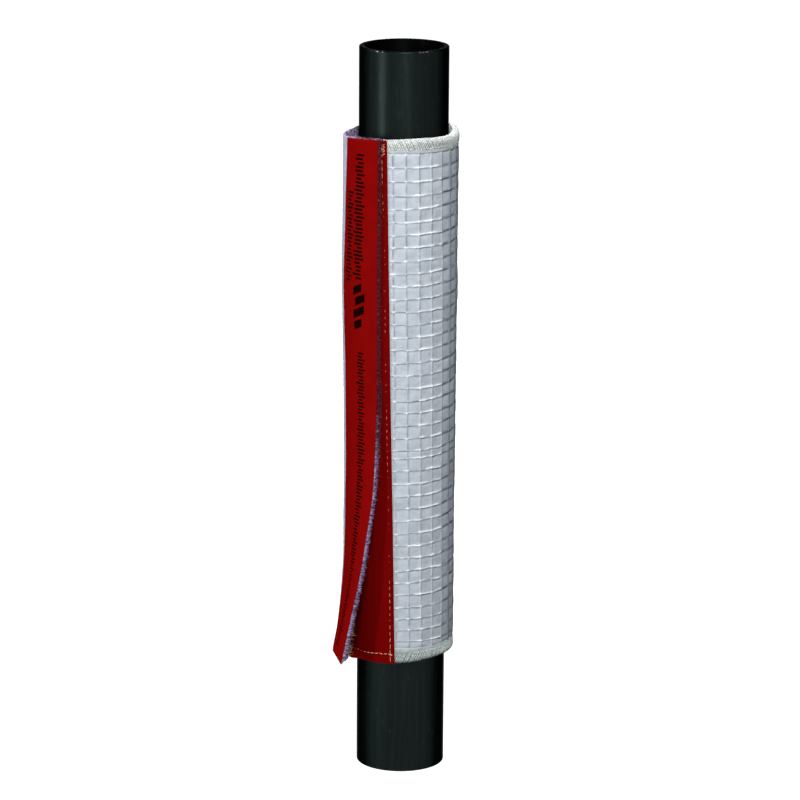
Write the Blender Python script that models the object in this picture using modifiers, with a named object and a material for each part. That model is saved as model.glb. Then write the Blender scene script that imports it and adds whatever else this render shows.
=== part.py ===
"""Fire protection sleeve wrapped on a length of steel pipe.

A thick fibre mat with a grid-reinforced foil on its outside is wrapped once round the pipe. Its ends are
overlocked. A red strip is sewn on the foil, and a fleece flap with a red film laps over it. The flap has come
loose at its lower end. Lengths are in metres, +Z is up, and angles round the pipe start at the front (-Y) and
grow towards +X.
"""
import math

import bmesh
import bpy

# Pipe
PIPE_RADIUS = 0.03015
PIPE_WALL = 0.0036
PIPE_LENGTH = 0.500
PIPE_CHAMFER = 0.0006
PIPE_SIDES = 48

# Sleeve as a whole
GAP = 0.0003
SLEEVE_BOTTOM = 0.0805
SLEEVE_TOP = 0.4435
RADIUS_BOTTOM = 0.0364
RADIUS_TOP = 0.0374
WRAP_SIDES = 40

# Scrim threads under the foil
THREADS_AROUND = 26
THREAD_ANGLE_TOP = math.radians(-11.6)
TWIST = math.radians(7.3)
THREAD_PITCH = 0.00874
CLOSE_PITCH = 0.0052
CLOSE_ROW = 16
ROWS = 40
FIRST_THREAD = 0.0955
THREAD_HALF_WIDTH = 0.0008
THREAD_RISE = 0.00045
SKEW = 0.035
SKEW_MIDDLE = math.radians(95)
SKEW_FADE = 0.040

# Butt joint of the mat, half a thread spacing past the fifth thread to the left
SLIT_PHASE = -5.5
SLIT_WIDTH = 0.0010
SLIT_PHASE_CLEARANCE = 0.05

# Mat, foil and hems
MAT_INNER_RADIUS = 0.0306
MAT_DEPTH = 0.0016
MAT_CORNER = 0.0036
FOIL_WALL = 0.00055
FOIL_BACK_ROWS = 5
HEM_HEIGHT = 0.0102
HEM_INNER_HEIGHT = 0.0080
HEM_SKIN = 0.0008
HEM_INNER_CORNER = 0.0014

# Closure strip
STRIP_BOTTOM = 0.0798
STRIP_TOP = 0.4422
STRIP_LIFT = 0.00005
STRIP_WALL = 0.0005
STRIP_RIGHT_TOP = math.radians(-16.9)
STRIP_RIGHT_BOTTOM = math.radians(-6.7)
STRIP_LEFT_PHASE = -5.3

# Closure flap
FLAP_HINGE = math.radians(-130)
FLAP_EDGE = math.radians(-22.2)
FLAP_TOP = 0.4420
FLAP_BOTTOM = 0.0821
FLAP_WALL = 0.0023
FLAP_LIFT = 0.00315
FLAP_SEWN_DEPTH = 0.0005
FLAP_COLUMNS = 13
FLAP_ROWS = 20
FLAP_OPENS_AT = 0.280
FLAP_PEEL = 0.0739
FLAP_PEEL_POWER = 0.743
FLAP_OPEN_RADIUS = 0.0681
FLAP_PEEL_BLEND = 0.012
FILM_COLUMNS = 6
FILM_WALL = 0.0003
FILM_TOP = 0.4410

# The pipe's axis stands here, so that the origin is the middle of the footprint box
AXIS_X = 0.0044
AXIS_Y = 0.0040

COLOURS = {
    "steel_pipe": ((0.016, 0.020, 0.020), 0.42, 0.3),
    "fibre_mat": ((0.36, 0.34, 0.42), 0.95, 0.0),
    "foil_cover": ((0.62, 0.66, 0.70), 0.35, 0.6),
    "top_hem": ((0.60, 0.65, 0.62), 0.85, 0.0),
    "bottom_hem": ((0.60, 0.65, 0.62), 0.85, 0.0),
    "closure_strip": ((0.15, 0.004, 0.003), 0.35, 0.0),
    "flap_fleece": ((0.22, 0.20, 0.32), 0.95, 0.0),
    "flap_film": ((0.26, 0.004, 0.003), 0.35, 0.0),
}


def clear_scene():
    for old in list(bpy.data.objects):
        bpy.data.objects.remove(old, do_unlink=True)


def new_collection(name):
    collection = bpy.data.collections.new(name)
    bpy.context.scene.collection.children.link(collection)
    return collection


def new_material(name):
    colour, roughness, metallic = COLOURS[name]
    material = bpy.data.materials.new(name)
    material.use_nodes = True
    shader = material.node_tree.nodes["Principled BSDF"]
    shader.inputs["Base Color"].default_value = (*colour, 1.0)
    shader.inputs["Roughness"].default_value = roughness
    shader.inputs["Metallic"].default_value = metallic
    return material


def smoothstep(value):
    value = min(max(value, 0.0), 1.0)
    return value * value * (3.0 - 2.0 * value)


def along_sleeve(z):
    """0 at the sleeve's top and 1 at its bottom."""
    return (SLEEVE_TOP - z) / (SLEEVE_TOP - SLEEVE_BOTTOM)


def sleeve_radius(z):
    """Radius over the scrim threads. The wrap is drawn a little tighter towards its foot."""
    return RADIUS_TOP + (RADIUS_BOTTOM - RADIUS_TOP) * along_sleeve(z)


def thread_angle(phase, z):
    """Angle of lengthwise thread number phase. The wrap turns slightly along the pipe."""
    return THREAD_ANGLE_TOP + phase * math.tau / THREADS_AROUND + TWIST * along_sleeve(z)


def polar(radius, angle, z):
    return (radius * math.sin(angle), -radius * math.cos(angle), z)


def add_piece(name, mesh):
    """Link a mesh as one named sub-part that stands on the pipe's axis."""
    piece = bpy.data.objects.new(name, mesh)
    piece.parent = AXIS
    mesh.materials.append(new_material(name))
    PARTS.objects.link(piece)
    return piece


def turned_piece(name, profile, sides):
    """Turn a closed profile of radius and height points, listed down its outer side, round the pipe's axis."""
    mesh = bpy.data.meshes.new(name)
    edges = [(i, (i + 1) % len(profile)) for i in range(len(profile))]
    mesh.from_pydata([(radius, 0.0, z) for radius, z in profile], edges, [])
    piece = add_piece(name, mesh)
    screw = piece.modifiers.new("Turn", "SCREW")
    screw.axis = "Z"
    screw.angle = math.tau
    screw.steps = sides
    screw.render_steps = sides
    screw.use_merge_vertices = True
    screw.merge_threshold = 0.00001
    screw.use_smooth_shade = True
    return piece


def placed_grid(name, columns, rows, place):
    """A flat sheet of columns by rows, each of whose points is moved to where place puts it."""
    bm = bmesh.new()
    bmesh.ops.create_grid(bm, x_segments=columns, y_segments=rows, size=0.5)
    for vert in bm.verts:
        vert.co = place((vert.co.x + 0.5) * columns, (vert.co.y + 0.5) * rows)
    mesh = bpy.data.meshes.new(name)
    bm.to_mesh(mesh)
    bm.free()
    return mesh


def thicken(piece, wall, offset):
    solidify = piece.modifiers.new("Wall", "SOLIDIFY")
    solidify.thickness = wall
    solidify.offset = offset
    solidify.use_even_offset = True


def cut(piece, cutter):
    boolean = piece.modifiers.new("Cut", "BOOLEAN")
    boolean.operation = "DIFFERENCE"
    boolean.solver = "EXACT"
    boolean.object = cutter


def corner(centre_radius, centre_z, size, start, end, steps):
    """Points of a rounded corner between two angles in degrees, 0 outwards and 90 up."""
    points = []
    for step in range(steps + 1):
        angle = math.radians(start + (end - start) * step / steps)
        points.append((centre_radius + size * math.cos(angle), centre_z + size * math.sin(angle)))
    return points


def mirrored(profile):
    """The profile of the other end of the sleeve, still listed down its outer side."""
    change = RADIUS_BOTTOM - RADIUS_TOP
    middle = MAT_INNER_RADIUS + 0.003
    flipped = []
    for radius, z in reversed(profile):
        tapered = radius + change if radius > middle else radius
        flipped.append((tapered, SLEEVE_TOP + SLEEVE_BOTTOM - z))
    return flipped


def make_slit_cutter():
    """A thin twisted plate that opens the butt joint of the mat and of both hems."""
    low = SLEEVE_BOTTOM - 0.005
    high = SLEEVE_TOP + 0.005
    rows = 8

    def place(column, row):
        z = low + (high - low) * row / rows
        return polar(0.026 + 0.018 * column, thread_angle(SLIT_PHASE, z), z)

    cutter = bpy.data.objects.new("slit_cutter", placed_grid("slit_cutter", 1, rows, place))
    thicken(cutter, SLIT_WIDTH, 0.0)
    cutter.hide_render = True
    cutter.display_type = "WIRE"
    cutter.parent = AXIS
    CUTTERS.objects.link(cutter)
    return cutter


def make_pipe():
    bore = PIPE_RADIUS - PIPE_WALL
    rim = PIPE_RADIUS - PIPE_CHAMFER
    profile = [
        (PIPE_RADIUS, PIPE_LENGTH - PIPE_CHAMFER),
        (PIPE_RADIUS, PIPE_CHAMFER),
        (rim, 0.0),
        (bore, 0.0),
        (bore, PIPE_LENGTH),
        (rim, PIPE_LENGTH),
    ]
    turned_piece("steel_pipe", profile, PIPE_SIDES)


def mat_end_profile():
    """The mat's upper end from its outer side over the top to its inner side."""
    top = SLEEVE_TOP - HEM_SKIN - GAP
    outer = RADIUS_TOP - MAT_DEPTH
    inner = MAT_INNER_RADIUS + HEM_SKIN + GAP
    shoulder = SLEEVE_TOP - HEM_INNER_HEIGHT - GAP
    return (
        [(MAT_INNER_RADIUS, shoulder - GAP), (inner, shoulder), (inner, top - GAP)]
        + corner(outer - MAT_CORNER, top - MAT_CORNER, MAT_CORNER, 90, 0, 3)
    )


def make_mat(cutter):
    upper = mat_end_profile()
    mat = turned_piece("fibre_mat", upper + mirrored(upper), WRAP_SIDES)
    cut(mat, cutter)


def hem_profile():
    """The upper hem, a thin skin that laps the mat's end inside and outside."""
    inner = MAT_INNER_RADIUS
    back = inner + HEM_SKIN
    outer = RADIUS_TOP - MAT_DEPTH + GAP + HEM_SKIN
    lining = outer - HEM_SKIN
    top = SLEEVE_TOP
    size = MAT_CORNER + GAP + HEM_SKIN
    centre = outer - size
    return (
        corner(centre, top - size, size, 90, 0, 3)
        + [(outer, top - HEM_HEIGHT), (lining, top - HEM_HEIGHT)]
        + corner(centre, top - size, size - HEM_SKIN, 0, 90, 2)
        + [(back, top - HEM_SKIN), (back, top - HEM_INNER_HEIGHT), (inner, top - HEM_INNER_HEIGHT)]
        + corner(inner + HEM_INNER_CORNER, top - HEM_INNER_CORNER, HEM_INNER_CORNER, 180, 90, 1)
    )


def make_hems(cutter):
    cut(turned_piece("top_hem", hem_profile(), WRAP_SIDES), cutter)
    cut(turned_piece("bottom_hem", mirrored(hem_profile()), WRAP_SIDES), cutter)


def row_height(row):
    """Height of a crosswise thread. Two threads were laid closer together than the rest."""
    if row == 0:
        return SLEEVE_BOTTOM + HEM_HEIGHT + GAP
    if row == ROWS:
        return SLEEVE_TOP - HEM_HEIGHT - GAP
    height = FIRST_THREAD + (row - 1) * THREAD_PITCH
    if row > CLOSE_ROW:
        height += CLOSE_PITCH - THREAD_PITCH
    return height


def column_phase(column):
    """Thread number of a grid column. The first and last columns are the edges at the butt joint."""
    low = SLIT_PHASE + SLIT_PHASE_CLEARANCE
    high = SLIT_PHASE + THREADS_AROUND - SLIT_PHASE_CLEARANCE
    return min(max(column + math.floor(SLIT_PHASE), low), high)


def foil_point(column, row):
    """Place of a thread crossing. Threads under the closure strip are pressed flat."""
    phase = column_phase(round(column))
    z = row_height(round(row))
    fade = smoothstep((z - row_height(0)) / SKEW_FADE) * smoothstep((row_height(ROWS) - z) / SKEW_FADE)
    angle = thread_angle(phase, z)
    radius = sleeve_radius(z) - (THREAD_RISE if phase < 0 else 0.0)
    z += SKEW * radius * (angle - SKEW_MIDDLE) * fade
    return polar(radius, thread_angle(phase, z), z)


def hidden_cell(column, row):
    """Cells under the closure strip, and those that the closed part of the flap presses flat."""
    middle = column_phase(column) + 0.5
    z = row_height(row)
    angle = thread_angle(middle, z)
    under_flap = angle > math.tau + FLAP_HINGE and z > FLAP_OPENS_AT
    return middle < -1 or under_flap


def make_foil():
    """Foil drawn down between raised threads. Each mesh of the scrim is one flat cell, inset and sunk."""
    columns = THREADS_AROUND + 1
    bm = bmesh.new()
    bm.from_mesh(placed_grid("foil_cover", columns, ROWS, foil_point))
    bm.verts.ensure_lookup_table()
    bm.faces.ensure_lookup_table()
    column_of = bm.verts.layers.int.new("column")
    row_of = bm.verts.layers.int.new("row")
    for index, vert in enumerate(bm.verts):
        vert[row_of], vert[column_of] = divmod(index, columns + 1)
    cells = bm.faces[:]
    open_cells = []
    for face in cells:
        column = min(vert[column_of] for vert in face.verts)
        row = min(vert[row_of] for vert in face.verts)
        if not hidden_cell(column, row):
            open_cells.append(face)
    depth = THREAD_RISE + FOIL_WALL
    back = bmesh.ops.extrude_face_region(bm, geom=cells, use_keep_orig=True)["geom"]
    for vert in (item for item in back if isinstance(item, bmesh.types.BMVert)):
        phase = column_phase(vert[column_of])
        shift = FOIL_WALL if phase < 0 else depth
        scale = 1.0 - shift / math.hypot(vert.co.x, vert.co.y)
        vert.co.x *= scale
        vert.co.y *= scale
    spare = []
    for edge in (item for item in back if isinstance(item, bmesh.types.BMEdge)):
        first, last = edge.verts
        crosswise = first[row_of] == last[row_of] and 0 < first[row_of] < ROWS
        if crosswise and first[row_of] % FOIL_BACK_ROWS:
            spare.append(edge)
    bmesh.ops.dissolve_edges(bm, edges=spare, use_verts=True)
    bmesh.ops.recalc_face_normals(bm, faces=bm.faces[:])
    bmesh.ops.inset_individual(bm, faces=open_cells, thickness=THREAD_HALF_WIDTH, depth=-THREAD_RISE)
    mesh = bpy.data.meshes.new("foil_cover")
    bm.to_mesh(mesh)
    bm.free()
    add_piece("foil_cover", mesh)


def make_closure_strip():
    columns, rows = 10, 8

    def place(column, row):
        z = STRIP_BOTTOM + (STRIP_TOP - STRIP_BOTTOM) * row / rows
        left = thread_angle(STRIP_LEFT_PHASE, z)
        right = STRIP_RIGHT_TOP + (STRIP_RIGHT_BOTTOM - STRIP_RIGHT_TOP) * along_sleeve(z)
        angle = left + (right - left) * column / columns
        return polar(sleeve_radius(z) + STRIP_LIFT, angle, z)

    strip = add_piece("closure_strip", placed_grid("closure_strip", columns, rows, place))
    thicken(strip, STRIP_WALL, 1.0)


def flap_section(z):
    """Points and directions across the flap's outer face at one height, from its hinge to its free edge.

    The flap lies round the sleeve as far as it is closed, and past the peel line it is nearly flat.
    """
    radius = sleeve_radius(z) + FLAP_LIFT
    width = radius * (FLAP_EDGE - FLAP_HINGE)
    opened = min(max((FLAP_OPENS_AT - z) / (FLAP_OPENS_AT - SLEEVE_BOTTOM), 0.0), 1.0)
    peeled = FLAP_PEEL * opened ** FLAP_PEEL_POWER
    fine = 10
    step = width / (FLAP_COLUMNS * fine)
    x, y, _ = polar(radius, FLAP_HINGE, z)
    angle = FLAP_HINGE
    points = [(x, y, angle)]
    for number in range(FLAP_COLUMNS * fine):
        past_peel = (number + 0.5) * step - (width - peeled)
        loose = smoothstep(past_peel / FLAP_PEEL_BLEND + 0.5) * min(peeled / (FLAP_PEEL_BLEND / 2), 1.0)
        turn = step * ((1.0 - loose) / radius + loose / FLAP_OPEN_RADIUS)
        x += step * math.cos(angle + turn / 2)
        y += step * math.sin(angle + turn / 2)
        angle += turn
        if number % fine == fine - 1:
            points.append((x, y, angle))
    return points


def flap_point(column, z, lift):
    """A point above the flap's outer face. Its hinge side is sewn down, closer to the foil."""
    x, y, angle = flap_section(z)[column]
    sewn = FLAP_SEWN_DEPTH * (1.0 - smoothstep(column - 4))
    out = lift - sewn
    return (x + out * math.sin(angle), y - out * math.cos(angle), z)


def make_flap_fleece():
    def place(column, row):
        z = FLAP_BOTTOM + (FLAP_TOP - FLAP_BOTTOM) * row / FLAP_ROWS
        return flap_point(round(column), z, 0.0)

    fleece = add_piece("flap_fleece", placed_grid("flap_fleece", FLAP_COLUMNS, FLAP_ROWS, place))
    thicken(fleece, FLAP_WALL, -1.0)


def make_flap_film():
    first = FLAP_COLUMNS - FILM_COLUMNS

    def place(column, row):
        z = FLAP_BOTTOM + (FILM_TOP - FLAP_BOTTOM) * row / FLAP_ROWS
        return flap_point(first + round(column), z, GAP)

    film = add_piece("flap_film", placed_grid("flap_film", FILM_COLUMNS, FLAP_ROWS, place))
    thicken(film, FILM_WALL, 1.0)


clear_scene()
PARTS = new_collection("fire_protection_pipe_sleeve")
CUTTERS = new_collection("cutters")
AXIS = bpy.data.objects.new("pipe_axis", None)
AXIS.location = (AXIS_X, AXIS_Y, 0.0)
PARTS.objects.link(AXIS)
bpy.context.view_layer.update()

make_pipe()
slit = make_slit_cutter()
make_mat(slit)
make_hems(slit)
make_foil()
make_closure_strip()
make_flap_fleece()
make_flap_film()
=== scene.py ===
"""Looks of the fire protection pipe sleeve: its foil, films, fleece, seams and fibres, and the studio.

Lengths are in metres. Angles round the pipe are in radians, start at the front (-Y) and grow towards +X, as
in the CAD model. Threads of the scrim are numbered, and thread 0 is the first beside the closure strip. A
phase is such a number with a fraction, for a place between two threads.
"""
import math

import bpy
import numpy as np
from mathutils import Euler, Matrix, Vector


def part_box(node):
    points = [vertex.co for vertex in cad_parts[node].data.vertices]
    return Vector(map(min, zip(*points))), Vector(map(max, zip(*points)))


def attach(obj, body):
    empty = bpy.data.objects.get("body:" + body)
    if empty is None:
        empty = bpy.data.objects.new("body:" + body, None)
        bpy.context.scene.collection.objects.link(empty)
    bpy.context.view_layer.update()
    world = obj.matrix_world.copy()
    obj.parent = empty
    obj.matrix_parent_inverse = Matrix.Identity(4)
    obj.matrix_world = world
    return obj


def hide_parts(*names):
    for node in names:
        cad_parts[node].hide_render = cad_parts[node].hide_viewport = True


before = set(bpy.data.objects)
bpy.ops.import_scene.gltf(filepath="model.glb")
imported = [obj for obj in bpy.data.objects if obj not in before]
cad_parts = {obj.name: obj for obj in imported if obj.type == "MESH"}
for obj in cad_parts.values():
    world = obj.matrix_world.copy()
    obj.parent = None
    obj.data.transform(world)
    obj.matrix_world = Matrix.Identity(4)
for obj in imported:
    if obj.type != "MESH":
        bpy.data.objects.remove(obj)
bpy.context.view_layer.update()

# Places and sizes read from the frame
PIPE_LOW, PIPE_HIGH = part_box("steel_pipe")
AXIS_X = (PIPE_LOW.x + PIPE_HIGH.x) / 2
AXIS_Y = (PIPE_LOW.y + PIPE_HIGH.y) / 2
PIPE_RADIUS = (PIPE_HIGH.x - PIPE_LOW.x) / 2
PIPE_TOP = PIPE_HIGH.z
SLEEVE_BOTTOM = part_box("bottom_hem")[0].z
SLEEVE_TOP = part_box("top_hem")[1].z
STRIP_BOTTOM, STRIP_TOP = (corner.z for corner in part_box("closure_strip"))
FLAP_BOTTOM, FLAP_TOP = (corner.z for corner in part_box("flap_fleece"))
FILM_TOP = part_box("flap_film")[1].z

# Pipe
PIPE_WALL = 0.0036
PIPE_SIDES = 192
RIM_OUTER_ROUND = 0.0007
RIM_INNER_ROUND = 0.0003
RIM_ROUND_STEPS = 3
# Places across the front and half widths of two bare spots on the upper rim: partly wear, partly painted
# highlight
KNOCK_HIGHLIGHTS = ((-0.0160, 0.0034), (0.0140, 0.0048))

# Sleeve, as in the CAD model
RADIUS_BOTTOM = 0.0364
RADIUS_TOP = 0.0374
MAT_INNER_RADIUS = 0.0306
MAT_DEPTH = 0.0016
MAT_INNER_GAP = 0.0011
MAT_END_GAP = 0.0012
MAT_CORNER = 0.0036
THREADS_AROUND = 26
THREAD_SPACING = math.tau / THREADS_AROUND
THREAD_ANGLE_TOP = math.radians(-11.6)
TWIST = math.radians(7.3)
THREAD_PITCH = 0.00874
CLOSE_PITCH = 0.0052
CLOSE_ROW = 16
ROWS = 40
FIRST_THREAD = 0.0955
SKEW = 0.035
SKEW_MIDDLE = math.radians(95)
SKEW_FADE = 0.040
SLIT_PHASE = -5.45
WRAP_END_PHASE = SLIT_PHASE + THREADS_AROUND - 0.1
HEM_HEIGHT = 0.0102

# Foil over the scrim
DETAILED_THREADS = 7
COVERED_THREADS = 18
CELL_WIDTH = 0.0087
THREAD_RELIEF = 0.00050
PRESSED_DEPTH = 0.00050
UNDER_HEM_DEPTH = 0.0009
FOIL_WALL = 0.0002

# Closure strip and flap, as in the CAD model
STRIP_RIGHT_TOP = math.radians(-16.9)
STRIP_RIGHT_BOTTOM = math.radians(-6.7)
STRIP_LEFT_PHASE = -5.3
STRIP_LIFT = 0.00055
FLAP_HINGE = math.radians(-130)
FLAP_EDGE = math.radians(-22.2)
FLAP_LIFT = 0.00315
FLAP_SEWN_DEPTH = 0.0005
FLAP_SEWN_SHARE = 4 / 13
FLAP_SEWN_FADE = 1 / 13
FLAP_OPENS_AT = 0.280
FLAP_PEEL = 0.0739
FLAP_PEEL_POWER = 0.743
FLAP_OPEN_RADIUS = 0.0681
FLAP_PEEL_BLEND = 0.012
FLAP_STEPS = 130
FLAP_WALL = 0.0023
FILM_START = 7 / 13

# Hems and seams as they were sewn
HEM_DEPTH = 0.00045
HEM_CORNER = 0.0027
HEM_CREST = 0.0003
HEM_INNER_DROP = 0.0042
HEM_INNER_HEIGHT = 0.0080
HEM_WALL = 0.0006
NEEDLE_LINE = 0.0068
NEEDLE_STITCH = (0.00135, 0.00050)
STITCHES_AROUND = 178
STITCH_SLANT = 0.45
LOOP_THREAD = 0.00078
STRIP_SEAM_INSET = 0.0029
STRIP_SEAM_PITCH = 0.0046
CROSS_SEAM_HEIGHT = 0.0862
CROSS_SEAM_PITCH = 0.0033
TACK_STITCHES = 7
TACK_PITCH = 0.0011
HINGE_SEAM_PITCH = 0.0031
HINGE_SEAM_SHARES = (0.045, 0.115)
SEAM_THREAD_WIDTH = 0.00046

# Loose parts of the strip and the flap
STRIP_WALL = 0.00045
STRIP_DROOP = 0.0027
STRIP_TUCK = 0.0032
CORNER_RISE = 0.0014
TOP_SLUMP = 0.0018
FOOT_CUT = 0.0036
FILM_LIFT = 0.00042
FILM_WALL = 0.00025
FLEECE_MOST = 0.0052
MIDDLE_HEIGHT = 0.26

# Heights at which the flap's free edge leaves its own shade, and is fully out of it
SHADED_EDGE = (0.262, 0.195)

# Studio
AMBIENT = 0.012
FLOOR_SIZE = 40.0
WHITE = (1.0, 1.0, 1.0)

rng = np.random.default_rng(7)


# Shapes that the pieces share

def smoothstep(value):
    value = np.clip(value, 0.0, 1.0)
    return value * value * (3.0 - 2.0 * value)


def rise(value, start, over):
    """0 up to start, and 1 from start + over on."""
    return smoothstep((value - start) / over)


def fade(value, end, over):
    """1 up to end - over, and 0 from end on."""
    return smoothstep((end - value) / over)


def hump(value, middle, width):
    return np.exp(-(((value - middle) / width) ** 2))


def running_sum(steps):
    return np.concatenate([[0.0], np.cumsum(steps)])


def uneven(u, v, seed):
    """A smooth random field from -1 to 1, with new values at whole u and v. Each seed gives another field."""
    size = 128
    table = np.random.default_rng(seed).uniform(-1.0, 1.0, (size, size))
    u, v = np.broadcast_arrays(u, v)
    low_u, low_v = np.floor(u).astype(int), np.floor(v).astype(int)
    part_u, part_v = smoothstep(u - low_u), smoothstep(v - low_v)

    def at(step_u, step_v):
        return table[(low_u + step_u) % size, (low_v + step_v) % size]

    near = at(0, 0) * (1.0 - part_u) + at(1, 0) * part_u
    far = at(0, 1) * (1.0 - part_u) + at(1, 1) * part_u
    return near * (1.0 - part_v) + far * part_v


def along_sleeve(z):
    """0 at the sleeve's top and 1 at its bottom."""
    return (SLEEVE_TOP - z) / (SLEEVE_TOP - SLEEVE_BOTTOM)


def swell(angle, z):
    """How far the wrap stands out of its even taper where the mat under it is lumpy."""
    left = np.clip(np.cos(angle + math.pi / 2), 0.0, 1.0) ** 1.5
    right = np.clip(np.cos(angle - math.pi / 2), 0.0, 1.0) ** 1.5
    lumps = left * (0.0009 * hump(z, 0.345, 0.045) - 0.0005 * hump(z, 0.215, 0.050))
    lumps = lumps + right * (0.0005 * hump(z, 0.335, 0.016) - 0.00025 * hump(z, 0.190, 0.050))
    lumps = lumps + 0.00012 * uneven(angle / 0.45, z / 0.035, 3)
    return lumps * rise(z, SLEEVE_BOTTOM + 0.010, 0.020) * fade(z, SLEEVE_TOP - 0.010, 0.020)


def sleeve_radius(z):
    return RADIUS_TOP + (RADIUS_BOTTOM - RADIUS_TOP) * along_sleeve(z)


def wrap_radius(angle, z):
    """Radius over the scrim threads, lumps included."""
    return sleeve_radius(z) + swell(angle, z)


def thread_angle(phase, z):
    return THREAD_ANGLE_TOP + phase * THREAD_SPACING + TWIST * along_sleeve(z)


def thread_phase(angle, z):
    return (angle - THREAD_ANGLE_TOP - TWIST * along_sleeve(z)) / THREAD_SPACING


def angle_at(x, y):
    """Angle round the pipe at which a point lies."""
    return np.arctan2(x - AXIS_X, AXIS_Y - y)


def outward(angle):
    return np.array([math.sin(angle), -math.cos(angle), 0.0])


def on_wrap(radius, angle, z):
    """Points at these radii, angles and heights, as one array."""
    radius, angle, z = np.broadcast_arrays(radius, angle, z)
    return np.stack([AXIS_X + radius * np.sin(angle), AXIS_Y - radius * np.cos(angle), z], axis=-1)


def facet_sag(phase, radius):
    """How deep the foil lies between two lengthwise threads, where it runs straight from one to the next."""
    off_middle = (phase - np.floor(phase) - 0.5) * THREAD_SPACING
    return radius * (1.0 - math.cos(THREAD_SPACING / 2) / np.cos(off_middle))


# Making and finishing pieces

def deselect_all():
    for item in list(bpy.context.selected_objects):
        item.select_set(False)


def make_active(piece):
    deselect_all()
    piece.select_set(True)
    bpy.context.view_layer.objects.active = piece


def settle(piece):
    """Moves a piece's place into its mesh, so that its object sits unturned at the origin."""
    make_active(piece)
    bpy.ops.object.transform_apply(location=True, rotation=True, scale=True)
    return piece


def edit_all(piece):
    """Enters edit mode with all of a piece selected."""
    make_active(piece)
    bpy.ops.object.mode_set(mode="EDIT")
    bpy.ops.mesh.select_all(action="SELECT")


def leave_edit():
    bpy.ops.object.mode_set(mode="OBJECT")


def apply_modifier(piece, kind, **settings):
    make_active(piece)
    modifier = piece.modifiers.new(kind.title(), kind)
    for name, value in settings.items():
        setattr(modifier, name, value)
    bpy.ops.object.modifier_apply(modifier=modifier.name)


def sheet_piece(name, points):
    """A flat grid, each of whose points is moved to its place. points has rows, columns and x, y, z."""
    deselect_all()
    rows, columns = points.shape[0] - 1, points.shape[1] - 1
    bpy.ops.mesh.primitive_grid_add(x_subdivisions=columns, y_subdivisions=rows, size=1.0)
    piece = bpy.context.active_object
    piece.name = name
    piece.data.name = name
    piece.data.vertices.foreach_set("co", points.astype(np.float32).ravel())
    piece.data.update()
    return piece


def thicken(piece, wall, shares=None):
    """Gives a sheet a wall behind it, or at each point this share of the wall."""
    settings = {"thickness": wall, "offset": -1.0}
    if shares is not None:
        group = piece.vertex_groups.new(name="depth")
        for index, share in enumerate(shares.ravel()):
            group.add([index], float(share), "REPLACE")
        settings["vertex_group"] = group.name
    apply_modifier(piece, "SOLIDIFY", **settings)


def round_edges(piece, width, steps):
    apply_modifier(piece, "BEVEL", width=width, segments=steps, limit_method="ANGLE",
                   angle_limit=math.radians(50))


def shade_smooth(piece, degrees=45):
    make_active(piece)
    bpy.ops.object.shade_smooth_by_angle(angle=math.radians(degrees))


def finish_piece(piece, material, stands_for=()):
    """Gives a piece its material, and has it ride on the one body and stand for its CAD nodes."""
    settle(piece)
    piece.data.materials.clear()
    piece.data.materials.append(material)
    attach(piece, "root")
    if stands_for:
        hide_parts(*stands_for)
    return piece


def write_attribute(piece, name, values):
    attribute = piece.data.attributes.new(name, "FLOAT", "POINT")
    attribute.data.foreach_set("value", np.asarray(values, np.float32))


def read_vectors(piece, kind):
    """The places ("co") or normals ("normal") of a piece's points."""
    vectors = np.zeros(len(piece.data.vertices) * 3, np.float32)
    piece.data.vertices.foreach_get(kind, vectors)
    return vectors.reshape(-1, 3).astype(float)


def joined_copies(pattern, name, places):
    """Copies of a pattern piece, each with its own mesh, at these placing matrices, joined into one piece."""
    copies = []
    for place in places:
        mesh = pattern.data.copy()
        mesh.transform(place)
        copy = bpy.data.objects.new(name, mesh)
        bpy.context.scene.collection.objects.link(copy)
        copies.append(copy)
    bpy.data.objects.remove(pattern, do_unlink=True)
    deselect_all()
    for copy in copies:
        copy.select_set(True)
    bpy.context.view_layer.objects.active = copies[0]
    bpy.ops.object.join()
    joined = bpy.context.active_object
    joined.name = name
    return joined


def placing(point, along, out, length, width):
    """Matrix that lays a pattern of unit size along one direction, with its top facing out."""
    along = Vector(along).normalized()
    side = Vector(out).cross(along).normalized()
    up = along.cross(side)
    turn = Matrix((along * length, side * width, up * width)).transposed().to_4x4()
    return Matrix.Translation(Vector(point)) @ turn


# Finishes

# A Mix node takes its share at input 0, and its two colours at 6 and 7, or two numbers at 2 and 3.
COLOUR_MIX = {"output": 2, "data_type": "RGBA"}


def paint(code):
    """Linear colour of an sRGB hex code."""
    values = [int(code[i:i + 2], 16) / 255 for i in (1, 3, 5)]
    linear = [v / 12.92 if v <= 0.04045 else ((v + 0.055) / 1.055) ** 2.4 for v in values]
    return (*linear, 1.0)


def set_input(tree, socket, value):
    """Links a socket, paints a hex code, and sets any other value."""
    if isinstance(value, bpy.types.NodeSocket):
        tree.links.new(value, socket)
    else:
        socket.default_value = paint(value) if isinstance(value, str) else value


def add_node(tree, kind, inputs=(), output=0, **settings):
    """Adds one node with its settings and links, and returns one of its outputs.

    inputs are in the node's own order, or have their places or names.
    """
    added = tree.nodes.new("ShaderNode" + kind)
    for name, value in settings.items():
        setattr(added, name, value)
    for key, value in inputs.items() if isinstance(inputs, dict) else enumerate(inputs):
        set_input(tree, added.inputs[key], value)
    return added.outputs[output]


def new_finish(name, **values):
    """A material whose Principled shader has these values, with its tree, shader and object coordinates."""
    material = bpy.data.materials.new(name)
    material.use_nodes = True
    tree = material.node_tree
    shader = tree.nodes["Principled BSDF"]
    for key, value in values.items():
        set_input(tree, shader.inputs[key.replace("_", " ")], value)
    return material, tree, shader, add_node(tree, "TexCoord", output="Object")


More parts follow.
